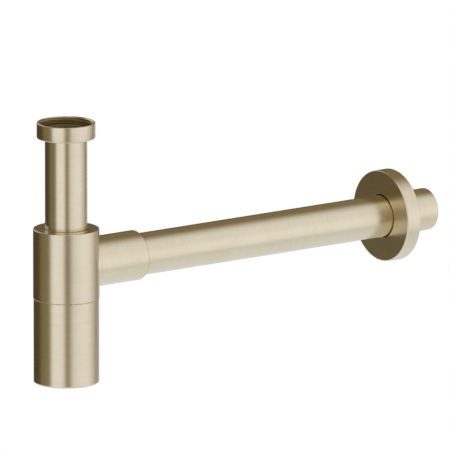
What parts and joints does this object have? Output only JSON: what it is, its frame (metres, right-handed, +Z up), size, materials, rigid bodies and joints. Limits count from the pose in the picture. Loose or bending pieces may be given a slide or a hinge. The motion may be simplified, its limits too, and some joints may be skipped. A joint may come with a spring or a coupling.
{
  "type": "sink trap",
  "caption": "Round bottle trap for a washbasin: coupling nut and inlet pipe on top, screwed cup below, and a straight outlet tube to the wall with a round wall flange.",
  "frame": {"origin": "centre of the coupling nut's open mouth, on the axis of the inlet pipe", "axes": "+Z up the inlet pipe's axis to the basin waste, +X along the outlet tube to the wall"},
  "size_m": [0.3661, 0.07, 0.201],
  "materials": {
    "brushed_brass": "brushed, light champagne gold",
    "black_rubber": "moulded, satin",
    "sealing_fibre": "pressed fibre, matte",
    "slip_plastic": "natural nylon, matte"
  },
  "bodies": {
    "nut": {"coupling_nut": "brushed_brass"},
    "slip": {"slip_ring": "slip_plastic"},
    "inlet": {"inlet_pipe": "brushed_brass", "inlet_washer": "sealing_fibre"},
    "neck_seals": {"neck_o_ring_upper": "black_rubber", "neck_o_ring_lower": "black_rubber"},
    "trap": {"trap_body": "brushed_brass"},
    "cup_seal": {"cup_o_ring": "black_rubber"},
    "cup": {"bottle_cup": "brushed_brass"},
    "outlet_seals": {"outlet_o_ring_outer": "black_rubber", "outlet_o_ring_inner": "black_rubber"},
    "tube": {"outlet_tube": "brushed_brass"},
    "grip": {"flange_grip_ring": "black_rubber"},
    "flange": {"wall_flange": "brushed_brass"}
  },
  "joints": [
    {"name": "nut_turn", "type": "hinge", "parent": "nut", "child": "slip", "pos_m": [0, 0, 0], "axis": [0, 0, 1], "continuous": true},
    {"name": "nut_run", "type": "slide", "parent": "slip", "child": "inlet", "axis": [0, 0, 1], "range_m": [0, 0.05]},
    {"name": "body_height", "type": "slide", "parent": "inlet", "child": "neck_seals", "axis": [0, 0, 1], "range_m": [-0.03, 0.01]},
    {"name": "body_swivel", "type": "hinge", "parent": "neck_seals", "child": "trap", "pos_m": [0, 0, -0.1], "axis": [0, 0, 1], "continuous": true},
    {"name": "cup_turn", "type": "hinge", "parent": "trap", "child": "cup_seal", "pos_m": [0, 0, -0.138], "axis": [0, 0, -1], "range_deg": [0, 2160]},
    {"name": "cup_travel", "type": "slide", "parent": "cup_seal", "child": "cup", "axis": [0, 0, -1], "range_m": [0, 0.00901]},
    {"name": "tube_turn", "type": "hinge", "parent": "trap", "child": "outlet_seals", "pos_m": [0.056, 0, -0.1112], "axis": [1, 0, 0], "continuous": true},
    {"name": "tube_slide", "type": "slide", "parent": "outlet_seals", "child": "tube", "axis": [1, 0, 0], "range_m": [-0.01, 0.008]},
    {"name": "flange_slide", "type": "slide", "parent": "tube", "child": "grip", "axis": [1, 0, 0], "range_m": [-0.215, 0.025]},
    {"name": "flange_turn", "type": "hinge", "parent": "grip", "child": "flange", "pos_m": [0.3027, 0, -0.1112], "axis": [1, 0, 0], "continuous": true}
  ],
  "couplings": [
    {"joint": "cup_travel", "follows": "cup_turn", "m_per_rad": 0.00023873}
  ]
}
